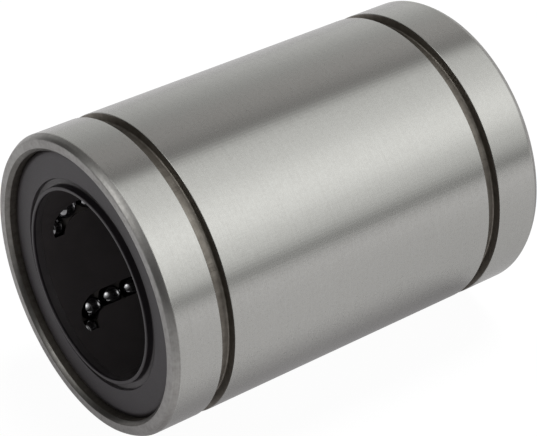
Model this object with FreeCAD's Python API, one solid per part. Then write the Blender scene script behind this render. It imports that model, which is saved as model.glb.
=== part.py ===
import FreeCAD, Part
import math
import os
from FreeCAD import Placement, Rotation, Vector

# A linear ball bearing that lies on its side. Its axis is X and its front end points to -X.
# The origin is the middle of the bearing. All sizes are in millimetres.
# The chain of sizes runs outwards: shaft, balls, raceway, return rows, seal seat, sleeve rim.

# Shaft and balls
shaft_diameter = 25.0
shaft_play = 0.01
ball_diameter = 3.175
ball_gap = 0.05
circuit_count = 6
first_row_angle = 10.8
return_lift = 1.405
turn_balls = 3
rest_phase = 0.5

# Sleeve
length = 58.0
raceway_play = 0.03
raceway_width = 3.8
raceway_runout = 0.4
return_play = 0.16
seat_step = 0.55
seat_depth = 2.2
rim_width = 2.2
groove_span = 44.1
groove_width = 1.85
groove_depth = 1.25
end_chamfer_length = 0.9
end_chamfer_drop = 0.6
mouth_chamfer = 0.5

# Retainer
cage_bore_gap = 0.4
cage_gap = 0.115
cage_end_play = 0.05
channel_play = 0.1
wall_gap = 0.1
wall_width = 0.9
wall_inset = 0.2
least_end_wall = 0.8

# Seals
seal_recess = 1.2
seal_fit = 0.02
seal_edge_drop = 0.5
seal_edge_width = 1.0
lip_play = 0.05
lip_wall = 0.52
lip_rise = 0.45
lip_land = 0.35
lip_flare = 0.3
trench_width = 0.9
trench_depth = 0.6
core_margin = 0.4
core_thickness = 0.45

# Radii that follow, from the shaft outwards
ball_radius = ball_diameter / 2
load_radius = shaft_diameter / 2 + shaft_play + ball_radius
raceway_radius = load_radius + ball_radius + raceway_play
return_radius = load_radius + return_lift
relief_radius = return_radius + ball_radius + return_play
seat_radius = relief_radius + seat_step
sleeve_radius = seat_radius + rim_width
cage_bore_radius = shaft_diameter / 2 + cage_bore_gap
cage_radius = raceway_radius - cage_gap
wall_radius = relief_radius - wall_gap
channel_half = ball_radius + channel_play

# The racetrack of one circuit: the balls of a turn stand 60 degrees apart, so the distance from
# one to the next is the turn's own radius, and the straight rows keep the same pitch.
turn_step = 180.0 / turn_balls
pitch = ball_diameter + ball_gap
turn_radius = pitch / (2 * math.sin(math.radians(turn_step / 2)))
cage_half = length / 2 - seat_depth - cage_end_play
row_space = 2 * (cage_half - least_end_wall - channel_half - turn_radius)
balls_per_row = int(row_space / pitch)
row_half = balls_per_row * pitch / 2
turn_wall = cage_half - row_half - turn_radius - channel_half

# At rest the balls stand half a pitch past the start of each row, which makes both ends alike.
# The plane of a circuit passes through its loaded row and its return row.
return_angle = math.acos(
    (load_radius ** 2 + return_radius ** 2 - 4 * turn_radius ** 2)
    / (2 * load_radius * return_radius)
)
plane_tilt = math.atan2(
    return_radius * math.cos(return_angle) - load_radius,
    return_radius * math.sin(return_angle),
)

AXIS = Vector(1, 0, 0)
ACROSS = Vector(0, 1, 0)
OUTWARD = Vector(0, 0, 1)


# Shared helpers

def export(name, solids):
    """Writes one node, which holds one solid or a group of separate ones."""
    shape = solids[0] if len(solids) == 1 else Part.makeCompound(solids)
    shape.exportStep("parts/" + name + ".step")


def face_of(points):
    """A flat face with straight edges through the points."""
    return Part.Face(Part.makePolygon(points + [points[0]]))


def revolved(outline):
    """A ring turned about the bearing's axis from an outline of (x, radius) points."""
    return face_of([Vector(x, 0, radius) for x, radius in outline]).revolve(Vector(), AXIS, 360)


def ring(inner, outer, half):
    """A plain tube about the bearing's axis, from -half to half."""
    start = Vector(-half, 0, 0)
    tube = Part.makeCylinder(outer, 2 * half, start, AXIS)
    return tube.cut(Part.makeCylinder(inner, 2 * half, start, AXIS))


def circuit_place(number):
    """From a circuit's own plane, with its loaded row at height 0, to the bearing."""
    around = first_row_angle + number * 360.0 / circuit_count - 90
    tilt = Placement(OUTWARD * load_radius, Rotation(AXIS, math.degrees(plane_tilt)))
    return Placement(Vector(), Rotation(AXIS, around)).multiply(tilt)


def placed(shape, place):
    """A copy of a shape, moved by a placement."""
    copy = shape.copy()
    copy.Placement = place.multiply(copy.Placement)
    return copy


# Sleeve

def sleeve_outline():
    """Half of the sleeve's section, from its middle outwards and back in, then its mirror image."""
    end = length / 2
    groove_radius = sleeve_radius - groove_depth
    groove_outer = groove_span / 2
    groove_inner = groove_outer - groove_width
    half = [
        (groove_inner, sleeve_radius),
        (groove_inner, groove_radius),
        (groove_outer, groove_radius),
        (groove_outer, sleeve_radius),
        (end - end_chamfer_length, sleeve_radius),
        (end, sleeve_radius - end_chamfer_drop),
        (end, seat_radius + mouth_chamfer),
        (end - mouth_chamfer, seat_radius),
        (end - seat_depth, seat_radius),
        (end - seat_depth, relief_radius),
    ]
    return half + [(-x, radius) for x, radius in reversed(half)]


def raceway_land():
    """The raised strip that carries one loaded row, standing inwards from the relief."""
    half = row_half - raceway_runout
    strip = Part.makeBox(
        2 * half, raceway_width, seat_radius,
        Vector(-half, -raceway_width / 2, 0),
    )
    return strip.common(ring(raceway_radius, relief_radius + seat_step / 2, half))


def outer_sleeve():
    """The steel sleeve with its grooves, seal seats and six raceway lands."""
    land = raceway_land()
    step = 360.0 / circuit_count
    lands = []
    for number in range(circuit_count):
        turn = Rotation(AXIS, first_row_angle + number * step - 90)
        lands.append(placed(land, Placement(Vector(), turn)))
    return revolved(sleeve_outline()).fuse(lands).removeSplitter()


# Retainer

def channel_section(x, across):
    """The ball channel's section: upright above the ball's middle, eight-sided below it."""
    corner = channel_half * math.tan(math.radians(22.5))
    top = wall_radius
    points = [
        (-channel_half, top),
        (-channel_half, -corner),
        (-corner, -channel_half),
        (corner, -channel_half),
        (channel_half, -corner),
        (channel_half, top),
    ]
    return face_of([Vector(x, across + y, z) for y, z in points])


def channel():
    """The racetrack of one circuit. It cuts through the cage's bore where the balls come near
    the shaft, which leaves a slot narrower than a ball, and closes again on the way back."""
    pieces = [
        channel_section(-row_half, across).extrude(AXIS * 2 * row_half)
        for across in (0, 2 * turn_radius)
    ]
    for x, angle in ((row_half, 180), (-row_half, -180)):
        centre = Vector(x, turn_radius, 0)
        pieces.append(channel_section(x, 0).revolve(centre, OUTWARD, angle))
    return pieces[0].fuse(pieces[1:]).removeSplitter()


def racetrack(radius, height):
    """A flat plate with round ends about the middles of the two turns."""
    middle = Part.makeBox(
        2 * row_half, 2 * radius, height,
        Vector(-row_half, turn_radius - radius, 0),
    )
    ends = [
        Part.makeCylinder(radius, height, Vector(x, turn_radius, 0), OUTWARD)
        for x in (row_half, -row_half)
    ]
    return middle.fuse(ends).removeSplitter()


def raised_wall(number):
    """The raised walls round one return row and its turns, which stand beside the raceway land
    of the loaded row, so that the cage slides into the sleeve between the lands."""
    place = circuit_place(number)
    start = raceway_width / 2 + wall_inset
    reach = 2 * turn_radius + channel_half + wall_width
    plate = racetrack(turn_radius + channel_half + turn_wall, wall_radius)
    strip = Part.makeBox(
        2 * cage_half, reach - start, wall_radius,
        Vector(-cage_half, start, 0),
    )
    shell = ring(cage_radius - cage_gap, wall_radius, cage_half)
    return placed(plate.common(strip), place).common(shell)


def ball_retainer():
    """The moulded cage: a thin tube with six racetracks for the balls."""
    tool = channel()
    walls = [raised_wall(number) for number in range(circuit_count)]
    channels = [placed(tool, circuit_place(number)) for number in range(circuit_count)]
    body = ring(cage_bore_radius, cage_radius, cage_half).fuse(walls)
    return body.cut(channels).removeSplitter()


# Seals

lip_radius = shaft_diameter / 2 + lip_play
lip_outer_radius = lip_radius + lip_wall
trench_radius = lip_outer_radius + trench_width
seal_radius = seat_radius - seal_fit
core_inner_radius = trench_radius + core_margin


def end_ring(side, outline):
    """A ring at one end of the bearing, from an outline of (depth below the end face, radius)."""
    return revolved([(side * (length / 2 - depth), radius) for depth, radius in outline])


def seal(side):
    """The rubber seal: a plate with a wiping lip and a trench round it, bonded to its core.
    The lip wipes with a short land and opens behind it."""
    lip_front = seal_recess - lip_rise
    core_front = seat_depth - core_thickness
    return end_ring(side, [
        (seal_recess + seal_edge_drop, seal_radius),
        (seal_recess, seal_radius - seal_edge_width),
        (seal_recess, trench_radius),
        (seal_recess + trench_depth, trench_radius),
        (seal_recess + trench_depth, lip_outer_radius),
        (lip_front, lip_outer_radius),
        (lip_front, lip_radius),
        (lip_front + lip_land, lip_radius),
        (seat_depth, lip_radius + lip_flare),
        (seat_depth, core_inner_radius),
        (core_front, core_inner_radius),
        (core_front, seal_radius),
    ])


def seal_core(side):
    """The steel washer that backs a seal and stands against the step of its seat."""
    core_front = seat_depth - core_thickness
    return end_ring(side, [
        (core_front, core_inner_radius),
        (core_front, seal_radius),
        (seat_depth, seal_radius),
        (seat_depth, core_inner_radius),
    ])


# Balls

def ball():
    """One ball, as a solid of 24 flat faces. Its corners lie on the true sphere, and six of them
    stand where the ball touches raceway, shaft, channel walls and the next balls."""
    corner = ball_radius / math.sqrt(3)
    directions = (AXIS, ACROSS, OUTWARD)
    faces = []
    for number in range(3):
        first, second, third = directions[number:] + directions[:number]
        for side in (1, -1):
            tip = first * side * ball_radius
            signs = ((1, 1), (-1, 1), (-1, -1), (1, -1))
            square = [(first * side + second * p + third * q) * corner for p, q in signs]
            for index in range(4):
                faces.append(face_of([tip, square[index - 1], square[index]]))
    return Part.makeSolid(Part.makeShell(faces))


def row_places(across, direction):
    """Where the balls of a straight row stand, as (x, across) in the circuit's plane."""
    steps = [k + rest_phase for k in range(balls_per_row)]
    return [(direction * (step * pitch - row_half), across) for step in steps]


def turn_places(direction):
    """Where the balls of a turn stand, as (x, across), counted from the end of the row before."""
    places = []
    for k in range(turn_balls):
        angle = math.radians((k + rest_phase) * turn_step)
        x = direction * (row_half + turn_radius * math.sin(angle))
        places.append((x, turn_radius - direction * turn_radius * math.cos(angle)))
    return places


def ball_groups():
    """The four groups of one circuit, in the order in which a ball passes through them."""
    return {
        "load_balls": row_places(0, 1),
        "rear_turn_balls": turn_places(1),
        "return_balls": row_places(2 * turn_radius, -1),
        "front_turn_balls": turn_places(-1),
    }


def main():
    os.makedirs("parts", exist_ok=True)
    export("outer_sleeve", [outer_sleeve()])
    export("ball_retainer", [ball_retainer()])
    for name, side in (("front", -1), ("rear", 1)):
        export(name + "_seal", [seal(side)])
        export(name + "_seal_core", [seal_core(side)])
    one = ball()
    for number in range(circuit_count):
        place = circuit_place(number)
        for group, spots in ball_groups().items():
            balls = [
                placed(one, place.multiply(Placement(Vector(x, y, 0), Rotation())))
                for x, y in spots
            ]
            export(group + "_" + str(number + 1), balls)


main()
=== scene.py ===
"""Looks of a closed linear ball bearing that lies on its side on a pale floor.

Lengths are in metres, in the frame of the solids: the bearing's axis is X, its front end
points to -X, and the origin is the middle of the bearing. Angles are in degrees.
"""
import sys

import logging
import math
from collections.abc import Callable, Iterable, Sequence
from dataclasses import dataclass
from enum import Enum

import bmesh
import bpy
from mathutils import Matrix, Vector


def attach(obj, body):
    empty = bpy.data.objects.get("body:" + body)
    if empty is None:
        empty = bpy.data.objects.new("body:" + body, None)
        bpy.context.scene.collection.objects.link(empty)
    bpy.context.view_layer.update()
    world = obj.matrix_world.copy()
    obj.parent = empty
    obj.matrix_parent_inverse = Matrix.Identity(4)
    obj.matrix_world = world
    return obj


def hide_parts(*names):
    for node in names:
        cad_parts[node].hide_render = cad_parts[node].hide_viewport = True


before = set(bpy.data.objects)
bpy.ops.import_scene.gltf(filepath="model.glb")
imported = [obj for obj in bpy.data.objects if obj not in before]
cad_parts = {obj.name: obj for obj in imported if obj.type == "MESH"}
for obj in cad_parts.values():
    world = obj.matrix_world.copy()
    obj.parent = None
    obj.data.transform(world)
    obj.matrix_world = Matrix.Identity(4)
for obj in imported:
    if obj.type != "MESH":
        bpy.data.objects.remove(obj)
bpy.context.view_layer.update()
report = logging.getLogger("bearing")

Outline = list[tuple[float, float]]
Triple = tuple[float, float, float]
Piece = bpy.types.Object
Socket = bpy.types.NodeSocket

TOLERANCE = 1e-6  # places nearer than this are the same
REACH = 2e-6  # a corner nearer than this to a ring belongs to it
ROUND_PROFILE = 0.5
SMOOTH_ANGLE = 38.0
NORMAL_WEIGHT = 60
QUARTER_TURN = 90
HALF_TURN = 180
FULL_TURN = 360

ROWS = 6
FIRST_ROW_ANGLE = 10.8  # about the axis, from +Y over +Z


# Modelling helpers


def clear_selection() -> None:
    """Leaves edit mode and deselects every object."""
    active = bpy.context.view_layer.objects.active
    if active is not None and active.mode != "OBJECT":
        bpy.ops.object.mode_set(mode="OBJECT")
    bpy.ops.object.select_all(action="DESELECT")


def take(piece: Piece) -> None:
    """Makes one piece the only selected and active object.

    Args:
        piece: The piece.
    """
    clear_selection()
    piece.select_set(True)
    bpy.context.view_layer.objects.active = piece


def settle(piece: Piece, name: str) -> Piece:
    """Names a new piece and moves its place, turn and size into its mesh.

    Args:
        piece: The object as its primitive left it.
        name: The piece's name.

    Returns:
        The same object, at the origin, unturned and unscaled.
    """
    take(piece)
    piece.name = name
    piece.data.name = name
    bpy.ops.object.transform_apply(location=True, rotation=True, scale=True)
    return piece


def pick_edges(piece: Piece, test: Callable[[Vector], bool]) -> int:
    """Selects edges in edit mode by where their corners are.

    Args:
        piece: The piece that is in edit mode.
        test: Says of a corner's place whether it belongs to the selection.

    Returns:
        How many were selected.
    """
    bpy.ops.mesh.select_mode(type="EDGE")
    bpy.ops.mesh.select_all(action="DESELECT")
    found = 0
    for edge in bmesh.from_edit_mesh(piece.data).edges:
        if all(test(corner.co) for corner in edge.verts):
            edge.select_set(True)
            found += 1
    bmesh.update_edit_mesh(piece.data)
    return found


def turned_ring(name: str, outline: Outline, segments: int) -> Piece:
    """Turns a closed outline about the bearing's axis.

    The first point becomes a circle. Each further point is an extruded copy of the ring before,
    moved along the axis and widened or narrowed, and the last ring is joined to the first.

    Args:
        name: The piece's name.
        outline: Points as (x, radius), in order round the section.
        segments: Number of steps round the axis.

    Returns:
        The closed ring, with outward faces.
    """
    clear_selection()
    x, radius = outline[0]
    bpy.ops.mesh.primitive_circle_add(
        vertices=segments, radius=radius, fill_type="NOTHING",
        location=(x, 0, 0), rotation=(0, math.pi / 2, 0),
    )
    piece = settle(bpy.context.object, name)
    bpy.ops.object.mode_set(mode="EDIT")
    bpy.ops.mesh.select_all(action="SELECT")
    for next_x, next_radius in outline[1:] + outline[:1]:
        bpy.ops.mesh.extrude_region_move(TRANSFORM_OT_translate={"value": (next_x - x, 0, 0)})
        if next_radius != radius:
            scale = next_radius / radius
            bpy.ops.transform.resize(value=(1, scale, scale), center_override=(next_x, 0, 0))
        x, radius = next_x, next_radius
    bpy.ops.mesh.select_all(action="SELECT")
    bpy.ops.mesh.remove_doubles(threshold=TOLERANCE)
    bpy.ops.mesh.normals_make_consistent(inside=False)
    bpy.ops.object.mode_set(mode="OBJECT")
    return piece


def round_rings(piece: Piece, rings: Outline, width: float, segments: int) -> None:
    """Rounds circular edges of a turned piece.

    Args:
        piece: The turned piece.
        rings: The edges, as (x, radius).
        width: How far the rounding reaches on each side.
        segments: Steps across the rounding.
    """
    take(piece)
    bpy.ops.object.mode_set(mode="EDIT")

    def on_a_ring(place: Vector) -> bool:
        """Says whether a corner lies on one of the rings."""
        radius = math.hypot(place.y, place.z)
        return any(abs(place.x - x) < REACH and abs(radius - ring) < REACH for x, ring in rings)

    found = pick_edges(piece, on_a_ring)
    if found:
        bpy.ops.mesh.bevel(
            offset=width, offset_type="OFFSET", segments=segments, profile=ROUND_PROFILE,
            affect="EDGES", clamp_overlap=True,
        )
    bpy.ops.object.mode_set(mode="OBJECT")
    report.debug("%s: %d edges rounded by %.5f m", piece.name, found, width)


def apply_modifier(piece: Piece, kind: str, **settings: object) -> None:
    """Adds a modifier to a piece and applies it.

    Args:
        piece: The piece.
        kind: The modifier's type.
        **settings: Values for the modifier's properties.
    """
    take(piece)
    modifier = piece.modifiers.new(kind.lower(), kind)
    for key, value in settings.items():
        setattr(modifier, key, value)
    bpy.ops.object.modifier_apply(modifier=modifier.name)


def smooth(piece: Piece, angle: float = SMOOTH_ANGLE) -> None:
    """Shades a piece smooth up to an edge angle, with wide faces keeping their own normals.

    Args:
        piece: The piece.
        angle: The sharpest edge that is shaded smooth.
    """
    take(piece)
    bpy.ops.object.shade_smooth_by_angle(angle=math.radians(angle))
    apply_modifier(
        piece, "WEIGHTED_NORMAL", mode="FACE_AREA", weight=NORMAL_WEIGHT, keep_sharp=True,
    )


def join(pieces: Sequence[Piece]) -> Piece:
    """Joins pieces into one.

    Args:
        pieces: The pieces, of which the first one stays.

    Returns:
        The first piece, with all meshes.
    """
    take(pieces[0])
    for piece in pieces[1:]:
        piece.select_set(True)
    bpy.ops.object.join()
    return pieces[0]


def dress(piece: Piece, *materials: bpy.types.Material) -> None:
    """Gives a piece its materials.

    Args:
        piece: The piece or node.
        *materials: The materials, in the order of the piece's material slots.
    """
    piece.data.materials.clear()
    for material in materials:
        piece.data.materials.append(material)


# Node helpers


class Detail(Enum):
    """How many finer layers a noise has."""

    CLOUD = 4.0
    LINES = 3.0
    GRAIN = 2.0


@dataclass(frozen=True)
class Fade:
    """A value that goes from low to high while another goes from start to end."""

    start: float
    end: float
    low: float = 0.0
    high: float = 1.0
    soft: bool = False


class Bench:
    """A material's or a world's node tree, with short ways to add to it."""

    noise_roughness: float = 0.6
    noise_fade: tuple[float, float] = (0.3, 0.7)

    def __init__(self, owner: bpy.types.Material | bpy.types.World) -> None:
        """Empties the owner's node tree.

        Args:
            owner: The material or world that the nodes belong to.
        """
        owner.use_nodes = True
        self.tree = owner.node_tree
        self.tree.nodes.clear()

    @staticmethod
    def socket_key(key: str) -> int | str:
        """Reads the name of an input.

        Args:
            key: i and a number, or the input's name with _ for a space.

        Returns:
            The number or the name.
        """
        if key[:1] == "i" and key[1:].isdigit():
            return int(key[1:])
        return key.replace("_", " ")

    def node(self, kind: str, **inputs: object) -> bpy.types.Node:
        """Adds a node.

        Args:
            kind: The node's type.
            **inputs: Values or sockets for its inputs. A name that the node has as a property
                is set there.

        Returns:
            The node.
        """
        made = self.tree.nodes.new(kind)
        for key, value in inputs.items():
            if hasattr(made, key):
                setattr(made, key, value)
            elif isinstance(value, Socket):
                self.tree.links.new(value, made.inputs[self.socket_key(key)])
            else:
                made.inputs[self.socket_key(key)].default_value = value
        return made

    def math(self, operation: str, first: object, second: object) -> Socket:
        """Adds a math node and returns its result."""
        return self.node("ShaderNodeMath", operation=operation, i0=first, i1=second).outputs[0]

    def place(self, scale: Triple) -> Socket:
        """Gives the place on the piece in metres, stretched by a scale along each axis.

        Args:
            scale: The scale.

        Returns:
            The place.
        """
        where = self.node("ShaderNodeTexCoord").outputs["Object"]
        mapping = self.node("ShaderNodeMapping", Vector=where, Scale=scale)
        return mapping.outputs["Vector"]

    def dot(self, where: Socket, direction: Triple) -> Socket:
        """Measures how far a place lies along a direction."""
        product = self.node("ShaderNodeVectorMath", operation="DOT_PRODUCT", i0=where, i1=direction)
        return product.outputs["Value"]

    def noise(self, scale: Triple, detail: Detail) -> Socket:
        """Adds a noise.

        Args:
            scale: Cells per metre along each axis.
            detail: How fine it is.

        Returns:
            The noise, about 0.5 in the middle.
        """
        cloud = self.node(
            "ShaderNodeTexNoise", Vector=self.place(scale), Scale=1.0, Detail=detail.value,
            Roughness=self.noise_roughness,
        )
        return cloud.outputs["Fac"]

    def fade(self, value: Socket, fade: Fade) -> Socket:
        """Maps a value as a fade says, and holds the result beyond both ends.

        Args:
            value: The value.
            fade: The fade.

        Returns:
            The result.
        """
        node = self.node(
            "ShaderNodeMapRange", Value=value,
            interpolation_type="SMOOTHSTEP" if fade.soft else "LINEAR",
        )
        node.inputs["From Min"].default_value = fade.start
        node.inputs["From Max"].default_value = fade.end
        node.inputs["To Min"].default_value = fade.low
        node.inputs["To Max"].default_value = fade.high
        return node.outputs["Result"]

    def spread(self, value: Socket, low: float, high: float) -> Socket:
        """Maps the usual range of a noise onto low to high."""
        return self.fade(value, Fade(*self.noise_fade, low, high))

    def ramp(self, value: Socket, stops: Iterable[tuple[float, Triple]]) -> Socket:
        """Adds a colour ramp.

        Args:
            value: The place on the ramp.
            stops: The ramp's stops, as (place, colour).

        Returns:
            The colour.
        """
        node = self.node("ShaderNodeValToRGB", Fac=value)
        elements = node.color_ramp.elements
        stops = list(stops)
        while len(elements) < len(stops):
            elements.new(1.0)
        for element, (place, colour) in zip(elements, stops):
            element.position = place
            element.color = (*colour, 1.0)
        return node.outputs["Color"]

    def bump(self, height: Socket, distance: float) -> Socket:
        """Adds a bump and returns its normal."""
        node = self.node("ShaderNodeBump", Strength=1.0, Distance=distance, Height=height)
        return node.outputs["Normal"]

    def glow(self, colour: object, strength: object) -> Socket:
        """Adds a shader that gives light and returns it."""
        return self.node("ShaderNodeEmission", Color=colour, Strength=strength).outputs[0]

    def mix(self, share: Socket, first: Socket, second: Socket) -> Socket:
        """Mixes two shaders by the second one's share."""
        return self.node("ShaderNodeMixShader", i0=share, i1=first, i2=second).outputs[0]

    def add(self, first: Socket, second: Socket) -> Socket:
        """Adds two shaders up."""
        return self.node("ShaderNodeAddShader", i0=first, i1=second).outputs[0]

    def output(self, shader: Socket, kind: str = "ShaderNodeOutputMaterial") -> None:
        """Ends the tree in a shader."""
        self.node(kind, Surface=shader)


# Finishes


class Grain(Enum):
    """How the marks of a metal finish run."""

    ROUND = "round the axis"
    NONE = "no direction"


@dataclass(frozen=True)
class Steel:
    """A steel finish with marks from its grinding or turning."""

    name: str
    light: Triple
    dark: Triple
    roughness: float
    roughness_play: float
    mottle_size: float
    line_pitch: float
    line_height: float
    grain: Grain = Grain.ROUND
    anisotropy: float = 0.0
    edge_tint: float = 0.75
    cells_along_line: float = 90.0
    mottle_share: float = 0.6
    line_share: float = 0.4
    tangent_turn: float = 0.25

    def lines(self, bench: Bench) -> Socket:
        """Builds the marks, which run round the axis or in no direction.

        Args:
            bench: The material's node tree.

        Returns:
            The height of the marks.
        """
        across = 1 / self.line_pitch
        if self.grain is Grain.ROUND:
            along = self.cells_along_line
            return bench.noise((across, along, along), Detail.LINES)
        return bench.noise((across,) * 3, Detail.GRAIN)

    def material(self) -> bpy.types.Material:
        """Builds the finish as nodes on Object coordinates.

        Returns:
            The material.
        """
        made = bpy.data.materials.new(self.name)
        bench = Bench(made)
        mottle = bench.noise((1 / self.mottle_size,) * 3, Detail.CLOUD)
        lines = self.lines(bench)
        mixed = bench.math(
            "ADD", bench.math("MULTIPLY", mottle, self.mottle_share),
            bench.math("MULTIPLY", lines, self.line_share),
        )
        colour = bench.ramp(bench.spread(mixed, 0.0, 1.0), [(0.0, self.dark), (1.0, self.light)])
        low = self.roughness - self.roughness_play
        shader = bench.node(
            "ShaderNodeBsdfPrincipled", Base_Color=colour, Metallic=1.0,
            Roughness=bench.spread(mixed, self.roughness + self.roughness_play, low),
            Normal=bench.bump(lines, self.line_height),
        )
        shader.inputs["Specular Tint"].default_value = (*[self.edge_tint] * 3, 1.0)
        if self.anisotropy:
            tangent = bench.node("ShaderNodeTangent", direction_type="RADIAL", axis="X")
            shader.inputs["Anisotropic"].default_value = self.anisotropy
            shader.inputs["Anisotropic Rotation"].default_value = self.tangent_turn
            bench.tree.links.new(tangent.outputs["Tangent"], shader.inputs["Tangent"])
        bench.output(shader.outputs["BSDF"])
        return made


@dataclass(frozen=True)
class Moulding:
    """A moulded rubber or plastic finish, or a film on it."""

    name: str
    light: Triple
    dark: Triple
    roughness: float
    roughness_play: float
    grain_size: float
    grain_height: float
    gloss: float = 0.5
    gloss_tint: Triple = (1.0, 1.0, 1.0)
    cloud_size: float = 0.0025

    def material(self) -> bpy.types.Material:
        """Builds the finish as nodes on Object coordinates.

        Returns:
            The material.
        """
        made = bpy.data.materials.new(self.name)
        bench = Bench(made)
        cloud = bench.noise((1 / self.cloud_size,) * 3, Detail.CLOUD)
        grain = bench.noise((1 / self.grain_size,) * 3, Detail.GRAIN)
        colour = bench.ramp(bench.spread(cloud, 0.0, 1.0), [(0.0, self.dark), (1.0, self.light)])
        low = self.roughness - self.roughness_play
        shader = bench.node(
            "ShaderNodeBsdfPrincipled", Base_Color=colour,
            Roughness=bench.spread(grain, low, self.roughness + self.roughness_play),
            Normal=bench.bump(grain, self.grain_height),
        )
        shader.inputs["Specular IOR Level"].default_value = self.gloss
        shader.inputs["Specular Tint"].default_value = (*self.gloss_tint, 1.0)
        bench.output(shader.outputs["BSDF"])
        return made


GROUND = Steel(
    "ground_steel", (0.402, 0.404, 0.384), (0.363, 0.361, 0.343),
    roughness=0.26, roughness_play=0.03, anisotropy=0.75,
    mottle_size=0.0004, line_pitch=0.00012, line_height=0.4e-6,
)
TURNED = Steel(
    "turned_steel", (0.362, 0.358, 0.346), (0.236, 0.230, 0.221),
    roughness=0.44, roughness_play=0.05, anisotropy=0.2,
    mottle_size=0.0006, line_pitch=0.0002, line_height=2.0e-6,
)
CHAMFER = Steel(
    "chamfer_steel", (0.355, 0.350, 0.336), (0.245, 0.238, 0.226),
    roughness=0.37, roughness_play=0.06, anisotropy=0.35,
    mottle_size=0.0006, line_pitch=0.0002, line_height=2.0e-6,
)
GROOVE = Steel(
    "groove_steel", (0.262, 0.245, 0.216), (0.128, 0.115, 0.098),
    roughness=0.42, roughness_play=0.06, anisotropy=0.4,
    mottle_size=0.0010, line_pitch=0.0003, line_height=3.0e-6,
)
MOUTH = Steel(
    "mouth_steel", (0.165, 0.160, 0.149), (0.100, 0.096, 0.088),
    roughness=0.36, roughness_play=0.06, anisotropy=0.4,
    mottle_size=0.0008, line_pitch=0.0002, line_height=2.0e-6,
)
OXIDE = Steel(
    "oxide_steel", (0.180, 0.163, 0.142), (0.090, 0.081, 0.070),
    roughness=0.50, roughness_play=0.08, anisotropy=0.3,
    mottle_size=0.0008, line_pitch=0.0003, line_height=4.0e-6,
)
ROLLED = Steel(
    "rolled_steel", (0.42, 0.42, 0.42), (0.30, 0.30, 0.30),
    roughness=0.40, roughness_play=0.06, grain=Grain.NONE,
    mottle_size=0.0010, line_pitch=0.0004, line_height=2.0e-6,
)
POLISHED = Steel(
    "polished_steel", (0.29, 0.29, 0.295), (0.25, 0.25, 0.255),
    roughness=0.05, roughness_play=0.015, grain=Grain.NONE, edge_tint=1.0,
    mottle_size=0.0010, line_pitch=0.0004, line_height=0.0,
)
RUBBER = Moulding(
    "seal_rubber", (0.012, 0.0095, 0.0115), (0.008, 0.0065, 0.008),
    roughness=0.42, roughness_play=0.05, grain_size=0.00012, grain_height=3.0e-6,
    gloss=0.385, gloss_tint=(1.0, 0.95, 0.98),
)
# painted light: a paler copy of the seal rubber for the trench and the bore behind the lip's land,
# which lifts the shade that falls there
PAINTED_LIGHT_RUBBER = Moulding(
    "rubber_painted_light", (0.064, 0.058, 0.060), (0.050, 0.045, 0.047),
    roughness=0.45, roughness_play=0.08, grain_size=0.0002, grain_height=3.0e-6,
)
PLASTIC = Moulding(
    "cage_plastic", (0.052, 0.046, 0.047), (0.042, 0.037, 0.038),
    roughness=0.50, roughness_play=0.06, grain_size=0.0002, grain_height=2.0e-6,
)
# painted light: a paler, non-metal coat on the raceways, the relief bore and the faces inside the
# cage's slots and racetracks, which lifts the shade that falls there
PAINTED_SLOT_LIGHT = Moulding(
    "slot_painted_light", (0.150, 0.136, 0.129), (0.110, 0.099, 0.094),
    roughness=0.36, roughness_play=0.08, grain_size=0.0003, grain_height=4.0e-6,
)


class Finishes:
    """The materials of the bearing, each built once."""

    def __init__(self) -> None:
        """Builds all finishes."""
        self.ground = GROUND.material()
        self.turned = TURNED.material()
        self.chamfer = CHAMFER.material()
        self.groove = GROOVE.material()
        self.mouth = MOUTH.material()
        self.oxide = OXIDE.material()
        self.rolled = ROLLED.material()
        self.polished = POLISHED.material()
        self.rubber = RUBBER.material()
        self.painted_rubber_light = PAINTED_LIGHT_RUBBER.material()
        self.plastic = PLASTIC.material()
        self.slot_painted_light = PAINTED_SLOT_LIGHT.material()


# The bearing


class SleeveZone(Enum):
    """The zones of the sleeve, by their material slot."""

    GROUND = 0
    TURNED = 1
    GROOVE = 2
    MOUTH = 3
    OXIDE = 4
    CHAMFER = 5
    PAINTED_SLOT_LIGHT = 6


class ShadeFill(Enum):
    """Whether a face of a seal or the cage gets painted light in a recess, by material slot."""

    BARE = 0
    COATED = 1


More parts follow.
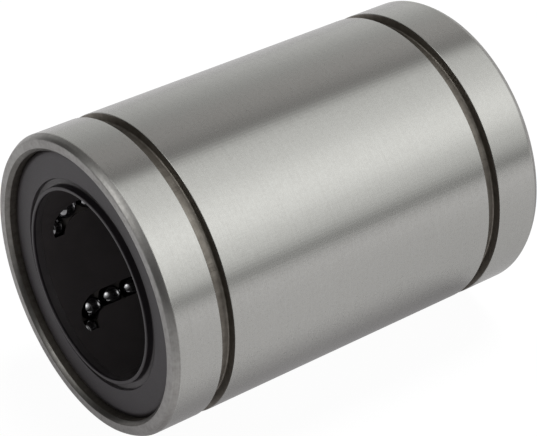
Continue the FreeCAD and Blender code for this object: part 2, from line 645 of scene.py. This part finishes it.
@dataclass
class OuterSleeve:
    """The steel sleeve: ground outside, two ring grooves, seal seats and six raceway lands."""

    length: float = 0.058
    radius: float = 0.020
    seat_radius: float = 0.0178
    relief_radius: float = 0.01725
    seat_depth: float = 0.0022
    mouth_chamfer: float = 0.0005
    chamfer_length: float = 0.0009
    chamfer_drop: float = 0.0006
    chamfer_crown: float = 0.00004
    groove_span: float = 0.0441
    groove_width: float = 0.00185
    groove_depth: float = 0.00125
    raceway_radius: float = 0.015715
    raceway_width: float = 0.0038
    raceway_half: float = 0.0205625
    raceway_root: float = 0.0003
    raceway_steps: int = 8
    segments: int = 256
    # roundings, as (width, steps)
    groove_edge: tuple[float, int] = (0.00009, 3)
    groove_fillet: tuple[float, int] = (0.00034, 5)
    chamfer_edge: tuple[float, int] = (0.00012, 3)
    mouth_edge: tuple[float, int] = (0.00008, 2)
    # how far a finish reaches past its zone's nominal edge
    floor_margin: float = 0.00001
    groove_margin: float = 0.00005
    ground_margin: float = 0.00004
    chamfer_margin: float = 0.00003
    mouth_margin: float = 0.00002
    slot_light_margin: float = 0.0001

    def chamfer_crown_point(self) -> tuple[float, float]:
        """Gives the middle of the chamfer, which its turning leaves slightly proud.

        Returns:
            The point as (x, radius).
        """
        slope = math.hypot(self.chamfer_length, self.chamfer_drop)
        x = self.length / 2 - self.chamfer_length / 2
        radius = self.radius - self.chamfer_drop / 2
        return (
            x + self.chamfer_crown * self.chamfer_drop / slope,
            radius + self.chamfer_crown * self.chamfer_length / slope,
        )

    def outline(self) -> Outline:
        """Draws the section: its rear half from the middle outwards, then its mirror image.

        Returns:
            The section's points as (x, radius).
        """
        end = self.length / 2
        floor = self.radius - self.groove_depth
        outer = self.groove_span / 2
        inner = outer - self.groove_width
        half = [
            (inner, self.radius),
            (inner, floor),
            (outer, floor),
            (outer, self.radius),
            (end - self.chamfer_length, self.radius),
            self.chamfer_crown_point(),
            (end, self.radius - self.chamfer_drop),
            (end, self.seat_radius + self.mouth_chamfer),
            (end - self.mouth_chamfer, self.seat_radius),
            (end - self.seat_depth, self.seat_radius),
            (end - self.seat_depth, self.relief_radius),
        ]
        return half + [(-x, radius) for x, radius in reversed(half)]

    def shell(self) -> Piece:
        """Turns the sleeve and rounds its edges as its machining leaves them.

        Returns:
            The sleeve without its raceway lands.
        """
        outline = self.outline()
        shell = turned_ring("sleeve", outline, self.segments)
        half = outline[:len(outline) // 2]
        roundings = (
            ([half[0], half[3]], self.groove_edge), (half[1:3], self.groove_fillet),
            (half[4:7], self.chamfer_edge), (half[7:9], self.mouth_edge),
        )
        for corners, (width, steps) in roundings:
            mirrored = [(-x, radius) for x, radius in corners]
            round_rings(shell, [*corners, *mirrored], width, steps)
        return shell

    def land(self, number: int) -> Piece:
        """Spins one raised strip, which carries a loaded row, about the axis from its section.

        Args:
            number: The land's number, from 0.

        Returns:
            The strip.
        """
        clear_selection()
        low, high = self.raceway_radius, self.relief_radius + self.raceway_root
        bpy.ops.mesh.primitive_plane_add(size=1, location=(0, (low + high) / 2, 0))
        piece = bpy.context.object
        piece.scale = (2 * self.raceway_half, high - low, 1)
        piece = settle(piece, "raceway_land")
        around = math.radians(FIRST_ROW_ANGLE + number * FULL_TURN / ROWS)
        width = self.raceway_width / self.raceway_radius
        bpy.ops.object.mode_set(mode="EDIT")
        bpy.ops.mesh.select_all(action="SELECT")
        bpy.ops.transform.rotate(
            value=-(around + width / 2), orient_axis="X", center_override=(0, 0, 0)
        )
        # the spin turns back, from +Z towards +Y
        bpy.ops.mesh.spin(
            steps=self.raceway_steps, angle=width, center=(0, 0, 0), axis=(1, 0, 0),
        )
        bpy.ops.mesh.select_all(action="SELECT")
        bpy.ops.mesh.normals_make_consistent(inside=False)
        bpy.ops.object.mode_set(mode="OBJECT")
        return piece

    def zone(self, face: bpy.types.MeshPolygon) -> SleeveZone:
        """Says which zone a face belongs to.

        Args:
            face: A face of the sleeve.

        Returns:
            Its zone.
        """
        x, radius = abs(face.center.x), math.hypot(face.center.y, face.center.z)
        floor = self.radius - self.groove_depth
        outer = self.groove_span / 2
        at_groove = outer - self.groove_width - TOLERANCE < x < outer + TOLERANCE
        if radius > floor - self.floor_margin and at_groove:
            below = radius < self.radius - self.groove_margin
            return SleeveZone.GROOVE if below else SleeveZone.GROUND
        if radius > self.radius - self.ground_margin:
            return SleeveZone.GROUND
        if radius > self.radius - self.chamfer_drop + self.chamfer_margin:
            return SleeveZone.CHAMFER
        if radius > self.seat_radius + self.mouth_chamfer - self.mouth_margin:
            return SleeveZone.TURNED
        # the raceway lands and the relief bore, seen through the slots, get painted light that
        # lifts their shade
        if radius < self.relief_radius + self.slot_light_margin:
            return SleeveZone.PAINTED_SLOT_LIGHT
        in_mouth = x > self.length / 2 - self.mouth_chamfer - self.mouth_margin
        return SleeveZone.MOUTH if in_mouth else SleeveZone.OXIDE

    def build(self, finishes: Finishes) -> Piece:
        """Builds and dresses the sleeve.

        Args:
            finishes: The bearing's materials.

        Returns:
            The sleeve as one piece.
        """
        shell = join([self.shell(), *[self.land(number) for number in range(ROWS)]])
        dress(
            shell, finishes.ground, finishes.turned, finishes.groove, finishes.mouth,
            finishes.oxide, finishes.chamfer, finishes.slot_painted_light,
        )
        for face in shell.data.polygons:
            face.material_index = self.zone(face).value
        smooth(shell)
        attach(shell, "bearing")
        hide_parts("outer_sleeve")
        return shell


@dataclass
class EndSeal:
    """A rubber seal ring with its wiping lip, bonded to a steel washer."""

    name: str
    side: int
    end: float = 0.029
    recess: float = 0.0012
    depth: float = 0.0022
    radius: float = 0.01778
    edge_drop: float = 0.0005
    edge_width: float = 0.0010
    edge_steps: int = 7
    trench_radius: float = 0.01397
    trench_depth: float = 0.0006
    lip_outer: float = 0.01307
    lip_inner: float = 0.01255
    lip_rise: float = 0.00045
    lip_land: float = 0.00035
    lip_flare: float = 0.0003
    core_inner: float = 0.01437
    core_thickness: float = 0.00045
    segments: int = 224
    # roundings, as (width, steps)
    trench_edge: tuple[float, int] = (0.00012, 3)
    trench_fillet: tuple[float, int] = (0.00018, 3)
    lip_edge: tuple[float, int] = (0.00014, 4)
    # where the painted light in the trench and behind the lip starts
    painted_light_margin: float = 0.00001
    painted_light_land: float = 0.8
    painted_light_wall: float = 0.3

    def at(self, depth: float, radius: float) -> tuple[float, float]:
        """Gives a point of the section, from its depth below the end face."""
        return (self.side * (self.end - depth), radius)

    def shoulder(self) -> Outline:
        """Draws the rounded shoulder, a quarter of an ellipse from the rim up to the face.

        Returns:
            Its points as (x, radius).
        """
        places = []
        for step in range(self.edge_steps + 1):
            angle = math.radians(QUARTER_TURN * step / self.edge_steps)
            depth = self.recess + self.edge_drop * (1 - math.sin(angle))
            places.append(self.at(depth, self.radius - self.edge_width * (1 - math.cos(angle))))
        return places

    def trench(self) -> Outline:
        """Draws the trench: its outer edge and the two corners of its floor.

        Returns:
            Its points as (x, radius).
        """
        floor = self.recess + self.trench_depth
        return [
            self.at(self.recess, self.trench_radius),
            self.at(floor, self.trench_radius),
            self.at(floor, self.lip_outer),
        ]

    def lip(self) -> Outline:
        """Draws the two edges of the lip's top."""
        top = self.recess - self.lip_rise
        return [self.at(top, self.lip_outer), self.at(top, self.lip_inner)]

    def back(self) -> Outline:
        """Draws the lip's land and flare, and the rubber's back round its washer.

        Returns:
            Its points as (x, radius).
        """
        washer = self.depth - self.core_thickness
        return [
            self.at(self.recess - self.lip_rise + self.lip_land, self.lip_inner),
            self.at(self.depth, self.lip_inner + self.lip_flare),
            self.at(self.depth, self.core_inner),
            self.at(washer, self.core_inner),
            self.at(washer, self.radius),
        ]

    def zone(self, face: bpy.types.MeshPolygon) -> ShadeFill:
        """Says whether a face gets painted light, as the trench does and the bore behind the lip's
        land.

        Args:
            face: A face of the rubber.

        Returns:
            Whether it gets the painted light.
        """
        radius = math.hypot(face.center.y, face.center.z)
        depth = self.end - abs(face.center.x)
        if radius < self.lip_inner + self.lip_flare + self.painted_light_margin:
            start = self.recess - self.lip_rise + self.lip_land * self.painted_light_land
            return ShadeFill.COATED if depth > start else ShadeFill.BARE
        in_trench = (
            self.lip_outer - self.painted_light_margin < radius < self.trench_radius + self.painted_light_margin
        )
        start = self.recess + self.trench_depth * self.painted_light_wall
        return ShadeFill.COATED if in_trench and depth > start else ShadeFill.BARE

    def build(self, finishes: Finishes) -> Piece:
        """Builds and dresses the rubber ring, and dresses its washer.

        Args:
            finishes: The bearing's materials.

        Returns:
            The rubber ring.
        """
        trench, lip = self.trench(), self.lip()
        outline = [*self.shoulder(), *trench, *lip, *self.back()]
        ring = turned_ring(self.name, outline, self.segments)
        round_rings(ring, trench[:1], *self.trench_edge)
        round_rings(ring, trench[1:], *self.trench_fillet)
        round_rings(ring, lip, *self.lip_edge)
        dress(ring, finishes.rubber, finishes.painted_rubber_light)
        # faces in the trench and behind the lip's land get the paler rubber, painted light
        for face in ring.data.polygons:
            face.material_index = self.zone(face).value
        smooth(ring)
        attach(ring, "bearing")
        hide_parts(self.name)
        dress(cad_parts[self.name + "_core"], finishes.rolled)
        return ring


@dataclass
class BallRetainer:
    """The moulded cage, with the slots and racetracks that lead the balls."""

    bore_radius: float = 0.0129
    edge: float = 0.00006
    edge_steps: int = 2
    edge_angle: float = 35.0
    flat_angle: float = 0.5
    smooth_angle: float = 30.0

    def zone(self, face: bpy.types.MeshPolygon) -> ShadeFill:
        """Says whether a face gets painted light, as all do that lie outside the bore's wall."""
        radius = math.hypot(face.center.y, face.center.z)
        return ShadeFill.COATED if radius > self.bore_radius + 2 * self.edge else ShadeFill.BARE

    def build(self, finishes: Finishes) -> Piece:
        """Builds the cage from its solid's mesh, with its edges rounded, and dresses it.

        Args:
            finishes: The bearing's materials.

        Returns:
            The cage.
        """
        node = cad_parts["ball_retainer"]
        cage = bpy.data.objects.new("cage", node.data.copy())
        bpy.context.scene.collection.objects.link(cage)
        take(cage)
        bpy.ops.object.mode_set(mode="EDIT")
        bpy.ops.mesh.select_all(action="SELECT")
        bpy.ops.mesh.remove_doubles(threshold=TOLERANCE)
        bpy.ops.mesh.dissolve_limited(angle_limit=math.radians(self.flat_angle))
        bpy.ops.object.mode_set(mode="OBJECT")
        apply_modifier(
            cage, "BEVEL", width=self.edge, segments=self.edge_steps, limit_method="ANGLE",
            angle_limit=math.radians(self.edge_angle), use_clamp_overlap=True,
        )
        apply_modifier(cage, "TRIANGULATE")
        dress(cage, finishes.plastic, finishes.slot_painted_light)
        # faces inside the slots and racetracks get painted light that lifts their shade
        for face in cage.data.polygons:
            face.material_index = self.zone(face).value
        smooth(cage, self.smooth_angle)
        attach(cage, "bearing")
        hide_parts("ball_retainer")
        return cage


@dataclass
class BallCircuit:
    """One endless row of balls, in the four groups that its bodies move."""

    number: int
    ball_radius: float = 0.0015875
    pitch: float = 0.003225
    row_count: int = 13
    turn_count: int = 3
    load_radius: float = 0.0140975
    return_radius: float = 0.0155025
    rest_phase: float = 0.5
    subdivisions: int = 2

    @property
    def row_half(self) -> float:
        """Half of the length of a straight row."""
        return self.row_count * self.pitch / 2

    def lift(self) -> float:
        """Works out how far the circuit's plane tilts outwards towards the return row.

        Returns:
            The angle in radians.
        """
        between = math.acos(
            (self.load_radius**2 + self.return_radius**2 - 4 * self.pitch**2)
            / (2 * self.load_radius * self.return_radius)
        )
        rise = self.return_radius * math.cos(between) - self.load_radius
        return math.atan2(rise, self.return_radius * math.sin(between))

    def spot(self, x: float, across: float) -> Vector:
        """Gives a place in the circuit's plane.

        Args:
            x: How far along the axis.
            across: How far from the loaded row towards the return row.

        Returns:
            The place in the bearing's frame.
        """
        row_angle = FIRST_ROW_ANGLE + (self.number - 1) * FULL_TURN / ROWS
        around = math.radians(row_angle - QUARTER_TURN)
        tilt = self.lift()
        y, z = across * math.cos(tilt), self.load_radius + across * math.sin(tilt)
        cosine, sine = math.cos(around), math.sin(around)
        return Vector((x, y * cosine - z * sine, y * sine + z * cosine))

    def row(self, across: float, direction: int) -> list[Vector]:
        """Gives the places of a straight row's balls, to the rear (1) or to the front (-1)."""
        steps = [(count + self.rest_phase) * self.pitch for count in range(self.row_count)]
        return [self.spot(direction * (step - self.row_half), across) for step in steps]

    def turn(self, direction: int) -> list[Vector]:
        """Gives the places of the balls in a half turn.

        Args:
            direction: 1 for the rear turn, -1 for the front one.

        Returns:
            The middles of the balls.
        """
        places = []
        for count in range(self.turn_count):
            angle = math.radians((count + self.rest_phase) * HALF_TURN / self.turn_count)
            x = direction * (self.row_half + self.pitch * math.sin(angle))
            places.append(self.spot(x, self.pitch - direction * self.pitch * math.cos(angle)))
        return places

    def group(
        self, name: str, places: Sequence[Vector], finishes: Finishes, body: str, node: str,
    ) -> Piece:
        """Builds one group of balls: one ball, copied to each place.

        Args:
            name: The piece's name.
            places: The middles of the balls.
            finishes: The bearing's materials.
            body: The body that the group rides on.
            node: The solid that it stands for.

        Returns:
            The group as one piece.
        """
        clear_selection()
        bpy.ops.mesh.primitive_ico_sphere_add(
            subdivisions=self.subdivisions, radius=self.ball_radius, location=places[0],
        )
        balls = settle(bpy.context.object, name)
        bpy.ops.object.mode_set(mode="EDIT")
        bpy.ops.mesh.select_all(action="SELECT")
        for before, after in zip(places, places[1:]):
            bpy.ops.mesh.duplicate_move(TRANSFORM_OT_translate={"value": after - before})
        bpy.ops.object.mode_set(mode="OBJECT")
        bpy.ops.object.shade_smooth()
        dress(balls, finishes.polished)
        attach(balls, body)
        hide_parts(node)
        return balls

    def build(self, finishes: Finishes) -> list[Piece]:
        """Builds the circuit's four groups.

        Args:
            finishes: The bearing's materials.

        Returns:
            The groups, in the order of the circuit.
        """
        stretches = (
            ("loaded_row", self.row(0, 1), "load_row", "load_balls"),
            ("rear_bend", self.turn(1), "rear_turn", "rear_turn_balls"),
            ("returning_row", self.row(2 * self.pitch, -1), "return_row", "return_balls"),
            ("front_bend", self.turn(-1), "front_turn", "front_turn_balls"),
        )
        return [
            self.group(
                f"{name}_{self.number}", places, finishes,
                f"{body}_{self.number}", f"{node}_{self.number}",
            )
            for name, places, body, node in stretches
        ]


# The studio


class TentEnd(Enum):
    """The two ends of the stretch of the tent that the sleeve mirrors, by their column."""

    NEAR = 1
    FAR = 2


@dataclass(frozen=True)
class SoftLamp:
    """An area lamp that aims at the bearing."""

    name: str
    place: Triple
    width: float
    height: float
    power: float

    def build(self) -> None:
        """Adds the lamp. It lights surfaces but isn't mirrored, which is the tent's part."""
        data = bpy.data.lights.new(self.name, "AREA")
        data.shape = "RECTANGLE"
        data.size, data.size_y = self.width, self.height
        data.energy = self.power
        lamp = bpy.data.objects.new(self.name, data)
        bpy.context.scene.collection.objects.link(lamp)
        lamp.location = self.place
        lamp.rotation_euler = (-Vector(self.place)).to_track_quat("-Z", "Y").to_euler()
        lamp.visible_glossy = False


@dataclass(frozen=True)
class Halo:
    """A round patch of light: nothing beyond the outer angle, full inside the inner one."""

    outer: float
    inner: float
    level: float

    def fade(self) -> Fade:
        """Gives the patch's fade over the cosine of the angle from its middle."""
        outer, inner = (math.cos(math.radians(angle)) for angle in (self.outer, self.inner))
        return Fade(outer, inner, 0.0, self.level, soft=True)


@dataclass
class Floor:
    """A pale floor that takes a shadow; in mirrors its white is a little dimmer in some places,
    which is painted shade, and a little brighter before the front end, which is painted light.
    """

    height: float = -0.020
    size: float = 6.0
    colour: Triple = (0.82, 0.82, 0.82)
    mirrored_tone: Triple = (1.0, 0.975, 1.0)
    white_share: float = 0.80
    camera_share: float = 0.17
    # added to the distance, so that a direction counts for less close to the bearing
    distance_offset: float = 0.06
    # painted shade: the mirrored white is dimmer towards the front on the camera's side
    dim_side: Triple = (-0.82, -0.57, 0.0)
    dim_fade: Fade = Fade(0.31, 0.62, 0.87, 0.25, soft=True)
    # a painted shadow: the mirrored white is dimmer close to the bearing
    close_fade: Fade = Fade(0.10, 0.23, 0.73, 1.0)
    # a painted shadow: a dimmer patch beside the rear end, on the camera's side
    rear_side: Triple = (1.0, 0.4, 0.0)
    rear_fade: Fade = Fade(-0.008, 0.018, 0.0, 0.16)
    beside_fade: Fade = Fade(0.0, -0.018)
    far_fade: Fade = Fade(0.12, 0.22, 1.0, 0.55)
    # before the front end, painted light on the camera's side and painted shade on the other
    ahead_fade: Fade = Fade(-0.026, -0.034)
    across_fade: Fade = Fade(-0.005, 0.04, 0.16, -0.07)

    def level(self, bench: Bench) -> Socket:
        """Works out how bright the floor's white shows in mirrors, with its painted shadows and
        painted light.

        Args:
            bench: The material's node tree.

        Returns:
            The level, where 1 is white.
        """
        where = bench.node("ShaderNodeTexCoord").outputs["Object"]
        split = bench.node("ShaderNodeSeparateXYZ", Vector=where)
        length = bench.node("ShaderNodeVectorMath", operation="LENGTH", i0=where)
        reach = bench.math("ADD", length.outputs["Value"], self.distance_offset)
        towards = bench.math("DIVIDE", bench.dot(where, self.dim_side), reach)
        # painted shade towards the camera's side and a painted shadow close to the bearing
        level = bench.math(
            "MULTIPLY", bench.fade(towards, self.dim_fade), bench.fade(reach, self.close_fade),
        )
        # a painted shadow beside the rear end
        patch = bench.math(
            "MULTIPLY", bench.fade(bench.dot(where, self.rear_side), self.rear_fade),
            bench.fade(split.outputs["Y"], self.beside_fade),
        )
        patch = bench.math("MULTIPLY", patch, bench.fade(reach, self.far_fade))
        # painted light and painted shade before the front end
        lift = bench.math(
            "MULTIPLY", bench.fade(split.outputs["X"], self.ahead_fade),
            bench.fade(split.outputs["Y"], self.across_fade),
        )
        change = bench.math("SUBTRACT", bench.math("ADD", 1.0, lift), patch)
        return bench.math("MULTIPLY", level, change)

    def build(self) -> None:
        """Adds the floor."""
        clear_selection()
        bpy.ops.mesh.primitive_plane_add(size=self.size, location=(0, 0, self.height))
        floor = settle(bpy.context.object, "studio_floor")
        material = bpy.data.materials.new("studio_floor")
        bench = Bench(material)
        plain = bench.node("ShaderNodeBsdfDiffuse", Color=(*self.colour, 1))
        camera = bench.node("ShaderNodeLightPath").outputs["Is Camera Ray"]
        level = bench.math("MAXIMUM", camera, self.level(bench))
        tone = bench.ramp(camera, [(0.0, self.mirrored_tone), (1.0, (1, 1, 1))])
        share = bench.math(
            "ADD", bench.math("MULTIPLY", camera, self.camera_share), self.white_share,
        )
        bench.output(bench.mix(share, plain.outputs[0], bench.glow(tone, level)))
        dress(floor, material)


@dataclass
class Tent:
    """A light tent that only shows in mirrors: lit bands round the axis and a soft box."""

    radius: float = 1.5
    segments: int = 48
    rings: int = 24
    box_direction: Triple = (-0.72, 0.08, 0.69)
    box: tuple[Halo, ...] = (Halo(27, 19, 1.0), Halo(46, 32, 0.25), Halo(13, 8, 2.0))
    # angle about the axis, from +Y over +Z, and the brightness there at the near and far end
    steps: tuple[Triple, ...] = (
        (0, 0.88, 1.38), (12, 0.77, 1.22), (24, 0.63, 1.00), (36, 0.49, 0.79), (48, 0.46, 0.73),
        (60, 0.44, 0.64), (70, 0.32, 0.42), (76, 0.20, 0.20), (84, 1.10, 1.08), (96, 1.34, 1.08),
        (108, 1.48, 1.22), (120, 1.76, 1.46), (132, 1.90, 1.58), (144, 1.86, 1.36),
        (154, 1.72, 0.86), (162, 1.54, 0.74), (168, 1.30, 0.48), (173, 0.62, 0.28),
        (176, 0.42, 0.14), (180, 0.70, 0.22),
    )
    # the steps between these angles are a little warmer
    warm_reach: tuple[float, float] = (40, 78)
    warm_share: float = 0.97
    # where the near end's light gives way to the far end's, and where both start, in radii
    end_fade: Fade = Fade(0.34, 0.68)
    start: tuple[float, float] = (-0.30, 0.05)
    wall_colour: Triple = (1, 0.98, 0.96)
    wall_level: float = 0.03

    def stops(self, end: TentEnd, top: float) -> list[tuple[float, Triple]]:
        """Lists the stops of the colour ramp at one end.

        Args:
            end: The end.
            top: The brightness that the ramp's white stands for.

        Returns:
            The stops as (place, colour).
        """
        stops = []
        for step in self.steps:
            tone = step[end.value] / top
            warm = self.warm_share if self.warm_reach[0] < step[0] < self.warm_reach[1] else 1.0
            stops.append((step[0] / HALF_TURN, (tone, tone * warm, tone * warm)))
        return stops

    def bands(self, bench: Bench, where: Socket) -> Socket:
        """Builds the bands of light round the axis.

        Args:
            bench: The material's node tree.
            where: The place on the tent.

        Returns:
            The shader.
        """
        split = bench.node("ShaderNodeSeparateXYZ", Vector=where)
        angle = bench.math("ARCTAN2", split.outputs["Z"], split.outputs["Y"])
        share = bench.math("DIVIDE", bench.math("MAXIMUM", angle, 0.0), math.pi)
        along = bench.math("DIVIDE", split.outputs["X"], self.radius)
        top = max(max(levels) for _, *levels in self.steps)
        level = bench.fade(along, Fade(*self.start, 0.0, top, soft=True))
        near, far = (
            bench.glow(bench.ramp(share, self.stops(end, top)), level) for end in TentEnd
        )
        return bench.mix(bench.fade(along, self.end_fade), near, far)

    def soft_box(self, bench: Bench, where: Socket) -> Socket:
        """Builds the soft box above the front end.

        Args:
            bench: The material's node tree.
            where: The place on the tent.

        Returns:
            The shader.
        """
        near = bench.math("DIVIDE", bench.dot(where, self.box_direction), self.radius)
        level, *others = [bench.fade(near, halo.fade()) for halo in self.box]
        for other in others:
            level = bench.math("ADD", level, other)
        return bench.glow((1, 1, 1, 1), level)

    def build(self) -> None:
        """Adds the tent."""
        clear_selection()
        bpy.ops.mesh.primitive_uv_sphere_add(
            segments=self.segments, ring_count=self.rings, radius=self.radius,
        )
        tent = settle(bpy.context.object, "studio_tent")
        material = bpy.data.materials.new("studio_tent")
        bench = Bench(material)
        where = bench.node("ShaderNodeTexCoord").outputs["Object"]
        light = bench.add(self.bands(bench, where), self.soft_box(bench, where))
        wall = bench.glow((*self.wall_colour, 1), self.wall_level)
        bench.output(bench.add(light, wall))
        dress(tent, material)
        tent.visible_camera = False
        tent.visible_diffuse = False
        tent.visible_shadow = False
        tent.visible_transmission = False


@dataclass
class Studio:
    """The floor, the light tent, the lamps, the world and the camera."""

    camera_place: Triple = (-0.143104, -0.190309, 0.158870)
    camera_turn: float = 36.896
    camera_tilt: float = 33.907
    lens: float = 147.551
    sensor: float = 36.0
    clips: tuple[float, float] = (0.01, 20.0)
    world_colour: Triple = (0.97, 0.98, 1.0)
    world_level: float = 0.05
    lamps: tuple[SoftLamp, ...] = (
        SoftLamp("key", (0.30, 0.10, 0.90), width=0.5, height=0.5, power=24.0),
        SoftLamp("fill", (-0.73, -0.96, 0.80), width=0.4, height=0.4, power=3.0),
    )

    def seen(self, bench: Bench) -> Socket:
        """Tells rays that are seen from rays that only light.

        Args:
            bench: The world's node tree.

        Returns:
            1 where a camera, mirrored or refracted ray looks, else 0.
        """
        path = bench.node("ShaderNodeLightPath")
        total = bench.math("ADD", path.outputs["Is Camera Ray"], path.outputs["Is Glossy Ray"])
        total = bench.math("ADD", total, path.outputs["Is Transmission Ray"])
        return bench.math("MINIMUM", total, 1.0)

    def world(self) -> None:
        """Sets a white background with a plain soft light."""
        world = bpy.data.worlds.new("studio")
        bpy.context.scene.world = world
        bench = Bench(world)
        soft = bench.node(
            "ShaderNodeBackground", Color=(*self.world_colour, 1), Strength=self.world_level,
        )
        white = bench.node("ShaderNodeBackground", Color=(1, 1, 1, 1), Strength=1.0)
        mixed = bench.mix(self.seen(bench), soft.outputs[0], white.outputs[0])
        bench.output(mixed, "ShaderNodeOutputWorld")

    def camera(self) -> None:
        """Adds the camera at the photograph's viewing angle."""
        data = bpy.data.cameras.new("view")
        data.sensor_width = self.sensor
        data.lens = self.lens
        data.clip_start, data.clip_end = self.clips
        camera = bpy.data.objects.new("view", data)
        bpy.context.scene.collection.objects.link(camera)
        camera.location = self.camera_place
        camera.rotation_euler = (
            math.radians(QUARTER_TURN - self.camera_tilt), 0, -math.radians(self.camera_turn),
        )
        bpy.context.scene.camera = camera

    def build(self) -> None:
        """Sets up the whole studio."""
        self.camera()
        Floor().build()
        Tent().build()
        self.world()
        for lamp in self.lamps:
            lamp.build()
        bpy.context.scene.view_settings.view_transform = "Standard"


def main() -> None:
    """Builds the studio and the bearing, and reports each piece."""
    logging.basicConfig(level=logging.INFO, format="%(name)s: %(message)s", stream=sys.stdout)
    Studio().build()
    finishes = Finishes()
    pieces = [OuterSleeve().build(finishes)]
    for name, side in (("front_seal", -1), ("rear_seal", 1)):
        pieces.append(EndSeal(name, side).build(finishes))
    pieces.append(BallRetainer().build(finishes))
    for number in range(1, ROWS + 1):
        pieces.extend(BallCircuit(number).build(finishes))
    for piece in pieces:
        report.info("%s: %d faces", piece.name, len(piece.data.polygons))


if __name__ == "__main__":
    main()
